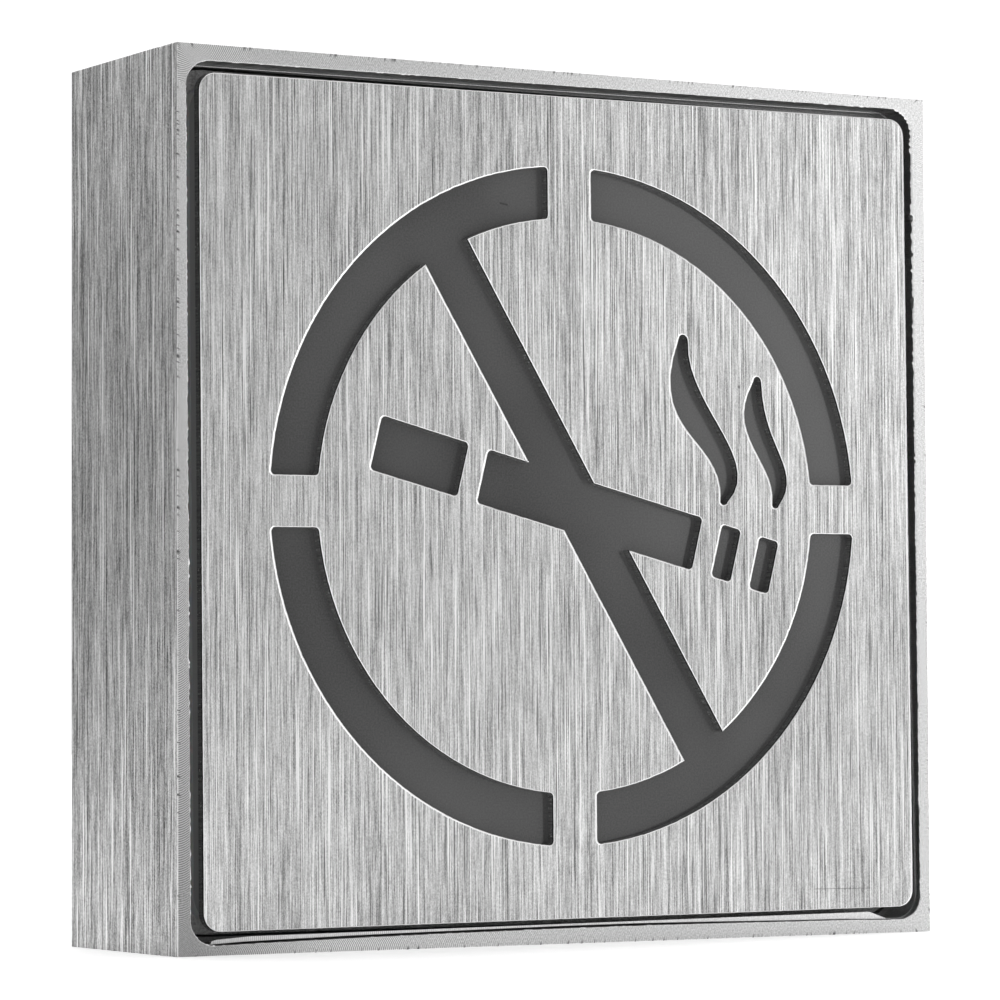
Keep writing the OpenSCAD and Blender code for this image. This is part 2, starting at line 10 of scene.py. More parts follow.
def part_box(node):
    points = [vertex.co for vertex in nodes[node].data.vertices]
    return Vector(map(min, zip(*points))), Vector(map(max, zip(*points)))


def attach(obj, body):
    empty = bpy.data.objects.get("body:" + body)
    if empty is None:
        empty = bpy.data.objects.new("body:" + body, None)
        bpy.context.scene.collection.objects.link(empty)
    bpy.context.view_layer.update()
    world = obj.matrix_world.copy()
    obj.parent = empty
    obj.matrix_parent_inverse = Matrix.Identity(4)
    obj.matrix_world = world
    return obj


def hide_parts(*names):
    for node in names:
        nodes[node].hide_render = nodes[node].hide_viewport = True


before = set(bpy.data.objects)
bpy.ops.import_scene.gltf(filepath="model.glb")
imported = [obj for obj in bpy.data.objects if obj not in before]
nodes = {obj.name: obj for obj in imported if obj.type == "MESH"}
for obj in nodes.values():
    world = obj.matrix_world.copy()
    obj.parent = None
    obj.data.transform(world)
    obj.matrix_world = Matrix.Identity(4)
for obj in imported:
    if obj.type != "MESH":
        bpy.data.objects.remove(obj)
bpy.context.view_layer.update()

MM = 0.001
X, Y, Z = 0, 1, 2


# Sizes of the sign, in millimetres, as in the part's source

HALF = 60.0
FRONT = -33.0
RECESS_HALF = 58.2
RECESS_R = 3.5
# The recess lies a little off centre and askew
RECESS_AT = np.array([-0.2, -0.15])
SKEW = math.radians(0.3)
# Depths of the smoked panel's front and of the recess's floor
SMOKED_Y = -31.5
RECESS_Y = -26.5
LED_PITCH = 22

# Sizes that only this script has

# Depth where the housing's finely cut front end meets the tube behind it
JOIN = -27.0
# How far the cutter went forward in one turn
CUTTER_FEED = 0.3
# Radius of the gel in each diode, a little inside the wall of its well
GEL_R = 1.06
# How far apart the points are along the rim and along the outlines of the face plate
RIM_SPACING = 0.15
PLATE_SPACING = 0.2
# Parts of the way from the rim's outer edge to its inner one, where its face has rows of points
RIM_SHARES = (0, 0.25, 0.5, 0.75, 1)
# How far the face plate's sharp edges are broken, and how far a tool or a mould softens the other edges
BROKEN = 0.1
SOFTENED = 0.08
# Faces that meet at more than this angle keep a sharp edge between them
SHARP = math.radians(38)

# Scratches in the face plate: the ends of each as (x, z), half its width, and how dark it is
SCRATCHES = [
    ((40.0, -53.44), (49.5, -53.52), 0.07, 0.55),
    ((41.9, -50.2), (41.9, -54.6), 0.09, 0.6),
    ((27.77, 17.2), (27.77, 17.4), 0.15, 0.8),
]
# The one speck on the smoked panel, given likewise
SPECK = ((-10.1, 41.45), (-9.0, 41.28), 0.16, 0.6)


# Colours, shader nodes and what every material starts with

def linear(hex_colour):
    """An sRGB hex colour as linear red, green, blue and alpha."""
    parts = [int(hex_colour[i:i + 2], 16) / 255 for i in (1, 3, 5)]
    return [p / 12.92 if p < 0.04045 else ((p + 0.055) / 1.055) ** 2.4 for p in parts] + [1.0]


def add(tree, kind, inputs=None, **settings):
    """Adds a shader node. An input is a value, a socket, or a node whose first output feeds it."""
    node = tree.nodes.new("ShaderNode" + kind)
    for name, value in settings.items():
        setattr(node, name, value)
    for name, value in (inputs or {}).items():
        if isinstance(value, bpy.types.Node):
            value = value.outputs[0]
        if isinstance(value, bpy.types.NodeSocket):
            tree.links.new(value, node.inputs[name])
        else:
            node.inputs[name].default_value = value
    return node


def blank(name, metallic=0.0, ior=None):
    """A material without a finish: the material, its node tree and its surface shader."""
    material = bpy.data.materials.new(name)
    material.use_nodes = True
    surface = material.node_tree.nodes["Principled BSDF"]
    surface.inputs["Metallic"].default_value = metallic
    if ior:
        surface.inputs["IOR"].default_value = ior
    return material, material.node_tree, surface


def millimetres(tree, *size):
    """The place on the piece, counted in steps of that size in millimetres along X, Y and Z."""
    place = add(tree, "TexCoord").outputs["Object"]
    return add(tree, "VectorMath", {0: place, 1: [1 / (s * MM) for s in size]}, operation="MULTIPLY")


def stretched(width, length, run):
    """Size of a grain that is drawn out along one axis."""
    size = [width] * 3
    size[run] = length
    return size


def finish(tree, surface, tone, low, high, shades, rough, relief_mm):
    """Lets one pattern carry the finish: as it goes from low to high, the colour goes from the first
    shade to the second, the roughness likewise, and the surface rises by relief_mm."""
    share = add(tree, "MapRange", {"Value": tone, "From Min": low, "From Max": high})
    colour = add(tree, "MixRGB", {"Fac": share, "Color1": linear(shades[0]), "Color2": linear(shades[1])})
    gloss = add(tree, "MapRange", {"Value": share, "To Min": rough[0], "To Max": rough[1]})
    raised = add(tree, "Bump", {"Height": share, "Distance": relief_mm * MM})
    tree.links.new(gloss.outputs[0], surface.inputs["Roughness"])
    tree.links.new(raised.outputs[0], surface.inputs["Normal"])
    tree.links.new(colour.outputs[0], surface.inputs["Base Color"])
    return colour


def scratched(tree, colour, y, scratch, shade):
    """The colour with a scratch of that shade drawn over it, on the flat face at y."""
    start, end, half_width, darkness = scratch
    a, b = (Vector((x, y, z)) for x, z in (start, end))
    run = b - a
    from_a = add(tree, "VectorMath", {0: millimetres(tree, 1, 1, 1), 1: a}, operation="SUBTRACT")
    along = add(tree, "VectorMath", {0: from_a, 1: run / run.length_squared}, operation="DOT_PRODUCT")
    share = add(tree, "Clamp", {"Value": along.outputs["Value"]})
    near = add(tree, "VectorMath", {0: run, "Scale": share}, operation="SCALE")
    away = add(tree, "VectorMath", {0: from_a, 1: near}, operation="DISTANCE").outputs["Value"]
    covered = add(tree, "MapRange", {"Value": away, "From Min": half_width, "From Max": half_width / 2})
    dark = add(tree, "Math", {0: covered, 1: darkness}, operation="MULTIPLY")
    return add(tree, "MixRGB", {"Fac": dark, "Color1": colour, "Color2": linear(shade)})


def scores(tree, width, length, run):
    """A grey from 0 to 1 for each score of an abrasive: thin strips that many millimetres wide and long,
    each with a grey of its own. The grid that they are cut from is turned, which gives them pointed ends
    that don't line up."""
    place = add(tree, "TexCoord").outputs["Object"]
    strips = add(tree, "Mapping", {"Vector": place, "Rotation": (0.5, 0.6, 0.7),
                                   "Scale": [1 / (s * MM) for s in stretched(width, length, run)]})
    strip = add(tree, "VectorMath", {0: strips}, operation="FLOOR")
    return add(tree, "TexWhiteNoise", {"Vector": strip})


# Materials

def hairline_aluminium(name, shades, across, run, scratches=()):
    """Aluminium rubbed one way by an abrasive belt. Each grain of grit leaves a score as fine as a hair,
    so the grey breaks up into crisp lines. A few deep scores are painted dark as shade, and as many ridges
    are painted white as highlights. A real score is 0.05 mm wide; across is drawn wider, so that single
    ones show."""
    material, tree, surface = blank(name, metallic=1.0)
    # Long scores carry most of the grey, and short ones break them up
    tone = 0.0
    for width, length, weight in ((across, 40, 0.6), (across * 0.9, 9, 0.5),
                                  (across, 2.5, 0.5), (across, 0.2, 0.4)):
        grey = scores(tree, width, length, run)
        tone = add(tree, "Math", {0: grey, 1: weight, 2: tone}, operation="MULTIPLY_ADD")
    colour = finish(tree, surface, tone, 0.35, 1.65, shades, (0.42, 0.32), 0.004)
    # One score in eighteen is a deep one painted dark as shade, and as many are ridges painted white as
    # highlights
    for length, weight, shade in ((7, 0.6, "#3f3f3f"), (16, 0.8, "#ffffff")):
        grey = scores(tree, across * 1.4, length, run)
        picked = add(tree, "Math", {0: grey, 1: 0.945}, operation="GREATER_THAN")
        share = add(tree, "Math", {0: picked, 1: weight}, operation="MULTIPLY")
        colour = add(tree, "MixRGB", {"Fac": share, "Color1": colour, "Color2": linear(shade)})
    for scratch in scratches:
        colour = scratched(tree, colour, FRONT, scratch, "#484848")
    tree.links.new(colour.outputs[0], surface.inputs["Base Color"])
    # The scores stretch every highlight across their run
    surface.inputs["Anisotropic"].default_value = 0.6
    along = add(tree, "Tangent", direction_type="RADIAL", axis="XYZ"[run])
    tree.links.new(along.outputs[0], surface.inputs["Tangent"])
    return material


def milled_aluminium(name, shades, rough):
    """Aluminium cut by a small end mill. Each turn of the cutter leaves one curved mark, 0.3 mm from the
    last, and they stand out in patches where the cutter chattered. The nicks in its edges are coloured
    dark. A painted glint turns the burrs of torn metal, the broken edges and the step in the recess near
    white. Its colour is also darkened low on the left, as painted shade."""
    material, tree, surface = blank(name, metallic=1.0)
    feed = add(tree, "Attribute", attribute_name="feed").outputs["Fac"]
    turn = add(tree, "Math", {0: feed, 1: 2 * math.pi / CUTTER_FEED}, operation="MULTIPLY")
    mark = add(tree, "Math", {0: turn}, operation="SINE")
    chatter = add(tree, "TexNoise", {"Vector": millimetres(tree, 9, 9, 9), "Scale": 1, "Detail": 2})
    share = add(tree, "MapRange", {"Value": chatter, "From Min": 0.42, "From Max": 0.62,
                                   "To Min": 0.2, "To Max": 0.7})
    # How far right a place is, and a quarter of how high
    rightward = add(tree, "VectorMath", {0: millimetres(tree, 1, 1, 1), 1: (1, 0, 0.25)},
                    operation="DOT_PRODUCT").outputs["Value"]
    worn_tool = add(tree, "MapRange", {"Value": rightward, "From Min": -10, "From Max": -45, "To Min": 0.15})
    share = add(tree, "Math", {0: share, 1: worn_tool}, operation="MULTIPLY")
    grain = add(tree, "TexNoise", {"Vector": millimetres(tree, 0.25, 0.25, 0.25), "Scale": 1, "Detail": 2})
    tone = add(tree, "Math", {0: mark, 1: share, 2: grain}, operation="MULTIPLY_ADD")
    colour = finish(tree, surface, tone, 0.15, 0.85, shades, rough, 0.006)
    # Painted shade: darkens the colour low on the left
    painted_shade_low_left = add(tree, "MapRange", {"Value": rightward, "From Min": -53, "From Max": -72})
    colour = add(tree, "MixRGB", {"Fac": painted_shade_low_left, "Color1": colour, "Color2": linear("#c6c6c6")},
                 blend_type="MULTIPLY")
    # Painted glint: one mark turns the colour near white; the other colours the nicks dark
    for mark_name, shade in (("burr_and_painted_glint", "#fbfbfb"), ("nick", "#626262")):
        share = add(tree, "Attribute", attribute_name=mark_name).outputs["Fac"]
        colour = add(tree, "MixRGB", {"Fac": share, "Color1": colour, "Color2": linear(shade)})
    tree.links.new(colour.outputs[0], surface.inputs["Base Color"])
    return material


def drawn_aluminium(name, shades, rough, pull):
    """Aluminium as a die left it: dull grey, with faint lines along the pull and soft clouds."""
    material, tree, surface = blank(name, metallic=1.0)
    lines = add(tree, "TexNoise", {"Vector": millimetres(tree, *stretched(0.4, 30, pull)), "Scale": 1})
    cloud = add(tree, "TexNoise", {"Vector": millimetres(tree, 6, 12, 6), "Scale": 1})
    tone = add(tree, "Math", {0: lines, 1: cloud}, operation="ADD")
    finish(tree, surface, tone, 0.85, 1.15, shades, (rough + 0.08, rough - 0.05), 0.01)
    return material


def laser_cut_aluminium(name):
    """The walls that a laser cut through the sheet: frosted, and striped through the thickness every
    0.2 mm, where the melt ran off in beads, some of them painted white as glints. The beam scorched a thin
    dark line along the front."""
    material, tree, surface = blank(name, metallic=1.0)
    stripes = add(tree, "TexNoise", {"Vector": millimetres(tree, 0.2, 4, 0.2), "Scale": 1, "Detail": 1})
    colour = finish(tree, surface, stripes, 0.3, 0.7, ("#828282", "#aaaaaa"), (0.6, 0.5), 0.01)
    # Painted glint: some of the beads are coloured white
    beads = add(tree, "TexNoise", {"Vector": millimetres(tree, 0.2, 0.3, 0.2), "Scale": 1, "Detail": 0})
    bright = add(tree, "MapRange", {"Value": beads, "From Min": 0.72, "From Max": 0.78, "To Max": 0.8})
    colour = add(tree, "MixRGB", {"Fac": bright, "Color1": colour, "Color2": linear("#ffffff")})
    depth = add(tree, "SeparateXYZ", {"Vector": millimetres(tree, 1, 1, 1)}).outputs["Y"]
    scorched = add(tree, "MapRange", {"Value": depth, "From Min": FRONT + 0.5, "From Max": FRONT + 0.3})
    colour = add(tree, "MixRGB", {"Fac": scorched, "Color1": colour, "Color2": linear("#303030")})
    tree.links.new(colour.outputs[0], surface.inputs["Base Color"])
    return material


def rolled_aluminium(name):
    """Sheet as it came off the rolls: long soft lines, greyer clouds and a few rubbed places."""
    material, tree, surface = blank(name, metallic=1.0)
    lines = add(tree, "TexNoise", {"Vector": millimetres(tree, 60, 3, 0.5), "Scale": 1, "Detail": 4})
    cloud = add(tree, "TexNoise", {"Vector": millimetres(tree, 14, 14, 14), "Scale": 1, "Detail": 3})
    tone = add(tree, "Math", {0: lines, 1: cloud}, operation="ADD")
    colour = finish(tree, surface, tone, 0.7, 1.3, ("#98999b", "#b6b7b9"), (0.48, 0.36), 0.012)
    rubbed = add(tree, "TexNoise", {"Vector": millimetres(tree, 1.5, 1.5, 0.3), "Scale": 1})
    share = add(tree, "MapRange", {"Value": rubbed, "From Min": 0.68, "From Max": 0.75, "To Max": 0.5})
    colour = add(tree, "MixRGB", {"Fac": share, "Color1": colour, "Color2": linear("#e6e6e8")})
    tree.links.new(colour.outputs[0], surface.inputs["Base Color"])
    return material


def smoked_acrylic(name):
    """Cast acrylic dyed grey. The casting glass left its faces glossy, with a breath of dust; its sawn
    edges are frosted and paler."""
    material, tree, surface = blank(name, ior=1.49)
    cloud = add(tree, "TexNoise", {"Vector": millimetres(tree, 22, 22, 22), "Scale": 1})
    colour = finish(tree, surface, cloud, 0.35, 0.65, ("#404040", "#4a4a4a"), (0.12, 0.2), 0.02)
    dust = add(tree, "TexNoise", {"Vector": millimetres(tree, 0.25, 0.25, 0.25), "Scale": 1, "Detail": 3})
    share = add(tree, "MapRange", {"Value": dust, "From Min": 0.35, "From Max": 0.75, "To Max": 0.2})
    colour = add(tree, "MixRGB", {"Fac": share, "Color1": colour, "Color2": linear("#7a7a7a")})
    normal = add(tree, "NewGeometry").outputs["Normal"]
    facing = add(tree, "VectorMath", {0: normal, 1: (0, 1, 0)}, operation="DOT_PRODUCT").outputs["Value"]
    level = add(tree, "Math", {0: facing}, operation="ABSOLUTE")
    sawn = add(tree, "MapRange", {"Value": level, "From Min": 0.9, "From Max": 0.5})
    colour = add(tree, "MixRGB", {"Fac": sawn, "Color1": colour, "Color2": linear("#c4c4c4")})
    colour = scratched(tree, colour, SMOKED_Y, SPECK, "#1c1c1c")
    tree.links.new(colour.outputs[0], surface.inputs["Base Color"])
    polish = surface.inputs["Roughness"].links[0].from_socket
    frost = add(tree, "MixRGB", {"Fac": sawn, "Color1": polish, "Color2": (0.6, 0.6, 0.6, 1)})
    tree.links.new(frost.outputs[0], surface.inputs["Roughness"])
    return material


def opal_acrylic(name):
    """White cast acrylic that spreads the light of the diodes: milky, glossy, with the faintest clouds."""
    material, tree, surface = blank(name, ior=1.49)
    cloud = add(tree, "TexNoise", {"Vector": millimetres(tree, 15, 15, 15), "Scale": 1})
    finish(tree, surface, cloud, 0.35, 0.65, ("#ededea", "#f7f7f5"), (0.2, 0.28), 0.01)
    surface.inputs["Subsurface Weight"].default_value = 0.3
    surface.inputs["Subsurface Scale"].default_value = 1.5 * MM
    return material


def closed_cell_foam(name):
    """Light grey foam strip: dull, and pitted by bubbles of 0.4 mm that the knife cut open."""
    material, tree, surface = blank(name, ior=1.5)
    cells = add(tree, "TexVoronoi", {"Vector": millimetres(tree, 0.4, 0.4, 0.4), "Scale": 1})
    finish(tree, surface, cells, 0.1, 0.7, ("#b0b0b0", "#c8c8c8"), (0.95, 0.8), 0.12)
    return material


def powder_paint(name):
    """White powder paint, baked on: satin, with the soft dimples of orange peel, 1.5 mm apart."""
    material, tree, surface = blank(name, ior=1.5)
    peel = add(tree, "TexNoise", {"Vector": millimetres(tree, 1.5, 1.5, 1.5), "Scale": 1, "Detail": 1})
    finish(tree, surface, peel, 0.3, 0.7, ("#e6e6e3", "#f4f4f1"), (0.46, 0.38), 0.04)
    return material


def solder_resist(name):
    """White resist printed over the copper: glossy, a shade darker and lower between the broad tracks
    that join the rows of diodes."""
    material, tree, surface = blank(name, ior=1.5)
    rows = add(tree, "VectorMath", {0: millimetres(tree, LED_PITCH, LED_PITCH, LED_PITCH), 1: (0, 0, 0.5)},
               operation="ADD")
    saw = add(tree, "VectorMath", {0: rows}, operation="FRACTION")
    height = add(tree, "SeparateXYZ", {"Vector": saw}).outputs["Z"]
    gap = add(tree, "Math", {0: height, 1: 0.5, 2: 0.05}, operation="COMPARE")
    mottle = add(tree, "TexNoise", {"Vector": millimetres(tree, 2, 2, 2), "Scale": 1})
    tone = add(tree, "Math", {0: gap, 1: -0.4, 2: mottle}, operation="MULTIPLY_ADD")
    finish(tree, surface, tone, 0.1, 0.6, ("#dde0dc", "#f3f5f2"), (0.36, 0.26), 0.03)
    return material


def phosphor_in_white(name):
    """Diodes: a white moulded frame round a well that is filled with yellow phosphor gel."""
    material, tree, surface = blank(name, ior=1.5)
    steps = add(tree, "VectorMath", {0: millimetres(tree, LED_PITCH, LED_PITCH, LED_PITCH)},
                operation="FRACTION")
    offset = add(tree, "VectorMath", {0: steps, 1: (0.5, 0, 0.5)}, operation="SUBTRACT")
    flat = add(tree, "VectorMath", {0: offset, 1: (1, 0, 1)}, operation="MULTIPLY")
    away = add(tree, "VectorMath", {0: flat}, operation="LENGTH").outputs["Value"]
    well = add(tree, "MapRange", {"Value": away, "From Min": (GEL_R + 0.06) / LED_PITCH,
                                  "From Max": GEL_R / LED_PITCH})
    grains = add(tree, "TexNoise", {"Vector": millimetres(tree, 0.12, 0.12, 0.12), "Scale": 1})
    gel = finish(tree, surface, grains, 0.3, 0.7, ("#e3c552", "#f0dc86"), (0.25, 0.4), 0.01)
    colour = add(tree, "MixRGB", {"Fac": well, "Color1": linear("#efeee8"), "Color2": gel})
    tree.links.new(colour.outputs[0], surface.inputs["Base Color"])
    return material


def moulded(name, shades, rough, texture_mm, relief_mm, ior=1.5):
    """Plastic or rubber as the mould left it: the mould's own fine texture, and a colour that drifts
    where the melt flowed."""
    material, tree, surface = blank(name, ior=ior)
    texture = add(tree, "TexNoise", {"Vector": millimetres(tree, *[texture_mm] * 3), "Scale": 1})
    flow = add(tree, "TexNoise", {"Vector": millimetres(tree, 5, 5, 9), "Scale": 1})
    tone = add(tree, "Math", {0: flow, 1: texture}, operation="ADD")
    finish(tree, surface, tone, 0.8, 1.2, shades, (rough + 0.05, rough - 0.05), relief_mm)
    return material


def plain_insulation(name, shades):
    """PVC drawn round a wire: satin and smooth, its colour drifting a little."""
    return moulded(name, shades, 0.4, 0.5, 0.01)


def striped_insulation(name):
    """Earth lead: green PVC with a yellow stripe that was extruded into it along the wire."""
    material, tree, surface = blank(name, ior=1.5)
    grain = add(tree, "TexNoise", {"Vector": millimetres(tree, 0.5, 0.5, 0.5), "Scale": 1})
    green = finish(tree, surface, grain, 0.3, 0.7, ("#2f8a2d", "#3c9c38"), (0.42, 0.36), 0.01)
    normal = add(tree, "NewGeometry").outputs["Normal"]
    side = add(tree, "VectorMath", {0: normal, 1: (0.6, -0.6, 0.53)},
               operation="DOT_PRODUCT").outputs["Value"]
    stripe = add(tree, "MapRange", {"Value": side, "From Min": 0.42, "From Max": 0.48})
    colour = add(tree, "MixRGB", {"Fac": stripe, "Color1": green, "Color2": linear("#e8d62e")})
    tree.links.new(colour.outputs[0], surface.inputs["Base Color"])
    return material


def plated_metal(name, shades, rough):
    """Metal under a thin plating: bright and even, with soft patches where the bath ran thin."""
    material, tree, surface = blank(name, metallic=1.0)
    patches = add(tree, "TexNoise", {"Vector": millimetres(tree, 1.6, 1.6, 1.6), "Scale": 1, "Detail": 3})
    finish(tree, surface, patches, 0.35, 0.65, shades, (rough + 0.06, rough - 0.04), 0.01)
    return material


def turned_metal(name, shades, rough):
    """Bar turned on a lathe: fine rings from the tool, 0.15 mm apart, that catch the light."""
    material, tree, surface = blank(name, metallic=1.0)
    rings = add(tree, "TexNoise", {"Vector": millimetres(tree, 0.15, 0.15, 0.15), "Scale": 1, "Detail": 1})
    finish(tree, surface, rings, 0.35, 0.65, shades, (rough + 0.06, rough - 0.04), 0.008)
    return material


BRUSHED_SIDE = hairline_aluminium("brushed_housing", ("#3a3a3a", "#eaeaea"), 0.2, Z)
# Painted shade: the top and bottom of the housing have darker shades than its sides, to hold back the light
# from above
BRUSHED_ENDS_PAINTED_DARKER = hairline_aluminium("brushed_housing_ends_painted_darker", ("#444444", "#c0c0c0"), 0.1, X)
BRUSHED_FACE = hairline_aluminium("brushed_face", ("#6c6c6c", "#f4f4f4"), 0.1, Z, SCRATCHES)
MILLED = milled_aluminium("milled_rim", ("#a0a0a0", "#eaeaea"), (0.42, 0.32))
# Painted shade: the recess walls have the rim's milled finish in darker shades
MILLED_RECESS_PAINTED_DARKER = milled_aluminium("milled_recess_painted_darker", ("#808080", "#b8b8b8"), (0.4, 0.3))
DRAWN = drawn_aluminium("drawn_tube_inside", ("#8c8c8c", "#b4b4b4"), 0.5, Y)
SAWN = drawn_aluminium("sawn_tube_end", ("#9a9a9a", "#c6c6c6"), 0.45, X)
LASER_CUT = laser_cut_aluminium("laser_cut_walls")
ZINC = plated_metal("zinc_plated_steel", ("#a9a79b", "#c9c7bb"), 0.36)
STAINLESS = turned_metal("turned_stainless_steel", ("#a3a3a3", "#c2c2c0"), 0.28)
BRASS = turned_metal("turned_brass", ("#b99a55", "#d2b56e"), 0.3)
NYLON = moulded("moulded_nylon", ("#e4e2d8", "#f0efe7"), 0.45, 0.5, 0.02, ior=1.53)
RUBBER = moulded("moulded_rubber", ("#1d1d1e", "#2b2b2c"), 0.6, 0.4, 0.03, ior=1.52)

# The finish of each CAD node that is shown as the CAD made it
FINISHES = {
    "face_studs": ZINC,
    "smoked_panel": smoked_acrylic("smoked_acrylic"),
    "opal_diffuser": opal_acrylic("opal_acrylic"),
    "light_seal": closed_cell_foam("closed_cell_foam"),
    "light_tray": powder_paint("white_powder_paint"),
    "stud_nuts": ZINC,
    "led_board": solder_resist("white_solder_resist"),
    "leds": phosphor_in_white("phosphor_in_white_frames"),
    "led_board_screws": ZINC,
    "board_connector": NYLON,
    "lead_bush": RUBBER,
    "led_lead_red": plain_insulation("red_insulation", ("#a81d1a", "#bd2a24")),
    "led_lead_black": plain_insulation("black_insulation", ("#1c1c1c", "#282828")),
    "driver": moulded("spark_textured_abs", ("#dededb", "#ebebe8"), 0.5, 0.35, 0.04, ior=1.54),
    "driver_screws": ZINC,
    "live_lead": plain_insulation("brown_insulation", ("#59301c", "#6a3c25")),
    "neutral_lead": plain_insulation("blue_insulation", ("#1d4f9e", "#2a61b4")),
    "earth_lead": striped_insulation("green_and_yellow_insulation"),
    "terminal_block": NYLON,
    "terminal_inserts": BRASS,
    "terminal_screws": ZINC,
    "terminal_fixing_screw": ZINC,
    "earth_screw": BRASS,
    "earth_tag": plated_metal("tinned_copper", ("#b5b3ad", "#cfcdc7"), 0.35),
    "cable_grommet": RUBBER,
    "back_plate": rolled_aluminium("rolled_back_plate"),
    "tray_screws": STAINLESS,
    "housing_screws": STAINLESS,
}


# What the two pieces that are built here share

def wobble(rng, count, spacing, waves, heights):
    """Closed run of random heights: each wave is that many millimetres long and that high."""
    total = np.zeros(count)
    for wave, height in zip(waves, heights):
        knots = max(4, int(count * spacing / wave))
        values = rng.standard_normal(knots)
        at = np.arange(count) * knots / count
        low = np.floor(at).astype(int)
        share = at - low
        share = share * share * (3 - 2 * share)
        total += height * (values[low % knots] * (1 - share) + values[(low + 1) % knots] * share)
    return total


def mesh_piece(name, points, faces, materials, slots, flat, marks):
    """A mesh in millimetres as a piece, smooth except on its flat faces and over sharp edges.
    marks are values at its points, which the materials read by name."""
    mesh = bpy.data.meshes.new(name)
    mesh.from_pydata((np.asarray(points) * MM).tolist(), [], faces)
    for material in materials:
        mesh.materials.append(material)
    mesh.polygons.foreach_set("material_index", slots)
    mesh.set_sharp_from_angle(angle=SHARP)
    mesh.polygons.foreach_set("use_smooth", [not f for f in flat])
    for mark, values in marks.items():
        layer = mesh.attributes.new(mark, "FLOAT", "POINT")
        layer.data.foreach_set("value", np.asarray(values, np.float32))
    mesh.update()
    piece = bpy.data.objects.new(name, mesh)
    bpy.context.scene.collection.objects.link(piece)
    return piece


def welded(node):
    """The CAD node's mesh with its split corners joined, as a bmesh in millimetres."""
    shape = bmesh.new()
    shape.from_mesh(nodes[node].data)
    bmesh.ops.scale(shape, vec=(1 / MM,) * 3, verts=shape.verts)
    bmesh.ops.remove_doubles(shape, verts=shape.verts, dist=0.001)
    return shape


def moved_row(base, across, inward, y):
    """A row of points at depth y, moved inward from their base, which is a row of (x, z)."""
    n = len(base)
    moved = base + across * np.broadcast_to(inward, n)[:, None]
    return np.column_stack([moved[:, 0], np.broadcast_to(y, n), moved[:, 1]])


# The housing

RIGHT, TOP, LEFT, BOTTOM = range(4)


def rim_columns():
    """Pairs of points on the rim's outer edge and on the recess, side after side. Each pair also has its
    place along its side and the side's number."""
    corner = RECESS_HALF - RECESS_R
    straight = np.arange(-corner, corner, RIM_SPACING)
    turns = np.arange(0, 1, RIM_SPACING / (RECESS_R * math.pi / 2))
    reach = HALF - corner
    outer, inner, along, side_of = [], [], [], []
    for side in (RIGHT, TOP, LEFT, BOTTOM):
        a = side * math.pi / 2
        out = np.array([math.cos(a), math.sin(a)])
        on = np.array([-math.sin(a), math.cos(a)])
        for s in straight:
            outer.append(out * HALF + on * s)
            inner.append(out * RECESS_HALF + on * s)
            along.append(s)
        for t in turns:
            past = min(2 * t, 1) * reach
            back = max(2 * t - 1, 0) * reach
            outer.append(out * (HALF - back) + on * (corner + past))
            turn = a + t * math.pi / 2
            inner.append((out + on) * corner + RECESS_R * np.array([math.cos(turn), math.sin(turn)]))
            along.append(corner + 2 * t * reach)
        side_of += [side] * (len(straight) + len(turns))
    skewed = np.array([[math.cos(SKEW), math.sin(SKEW)], [-math.sin(SKEW), math.cos(SKEW)]])
    return np.array(outer), np.array(inner) @ skewed + RECESS_AT, np.array(along), np.array(side_of)


def worn_edges(rng, side, height):
    """How the cutter left the rim's edges, point by point: the nicks in the outer edge, how far that edge
    is broken, how heavy the burr over the recess is, how it comes and goes, and the chips torn out."""
    n = len(side)
    # Nicks are close together on the left side near the top, and rare on the right
    often = np.choose(side, [0.15, 0.5, 0, 0.45])
    often = np.where(side == LEFT, np.interp(height, [-60, 0, 25, 60], [0.3, 0.45, 0.9, 1.0]), often)
    nick = np.clip(wobble(rng, n, RIM_SPACING, (0.2,), (1,)) - 1.35 + 0.9 * often, 0, 0.8) / 0.8
    soft = np.abs(wobble(rng, n, RIM_SPACING, (0.5, 4), (0.015, 0.01)))
    edge = 0.09 + soft + 0.08 * nick
    # The burr is heaviest high on the right
    heavy = np.choose(side, [0.06, 0.03, 0.1, 0.03])
    heavy = np.where(side == RIGHT, np.interp(height, [-20, 30, 60], [0.06, 0.16, 0.22]), heavy)
    burr_and_painted_glint = np.abs(wobble(rng, n, RIM_SPACING, (0.35, 0.8), (0.6, 0.5)))
    torn = np.clip(wobble(rng, n, RIM_SPACING, (0.5, 2.5), (0.7, 0.6)) - 0.8, 0, 1.5) * heavy * 1.7
    return nick, edge, heavy, burr_and_painted_glint, torn


def bow_of_recess(side, along):
    """How far the recess bows in along the bottom, where the tube's wall sprang up under the cutter."""
    sprung = np.interp(along, [-55, -45, -33, -20, 0, 12, 24, 36, 46, 51],
                       [0, 0.16, 0.35, 0.44, 0.53, 0.5, 0.4, 0.24, 0.16, 0])
    return np.where(side == BOTTOM, sprung, 0)


def step_in_recess(side, along, bow):
    """Widths of the groove and of the step behind it, where the cutter's second pass began. Along the
    bottom the step's own edge is straight, so it is wide where the recess bows least, and it ends at the
    right corner."""
    step = np.choose(side, [0.08, 0.14, 0.08, 0.06])
    groove = 0.35 * step
    reach = np.interp(along, [-56, -54, -49, 50, 53], [0.2, 0.7, 1.0, 1.12, 0.1])
    cut = np.interp(along, [-57, -50, 12, 34, 57], [0.05, 0.27, 0.27, 0.14, 0.04])
    groove = np.where(side == BOTTOM, cut, groove)
    step = np.where(side == BOTTOM, np.clip(reach - bow - cut, 0.05, 1), step)
    return groove, step


def cutter_travel(side, height, along, width, share):
    """How far the cutter had gone when it passed that share of the rim's width. Its marks are bowed, and
    they lean most high on the left."""
    lean = np.choose(side, [0.3, 0.5, 0, 0.2])
    lean = np.where(side == LEFT, np.interp(height, [-60, -20, 20, 60], [0.15, 0.5, 1.3, 1.6]), lean)
    return along + lean * width * share + 0.5 * share * share


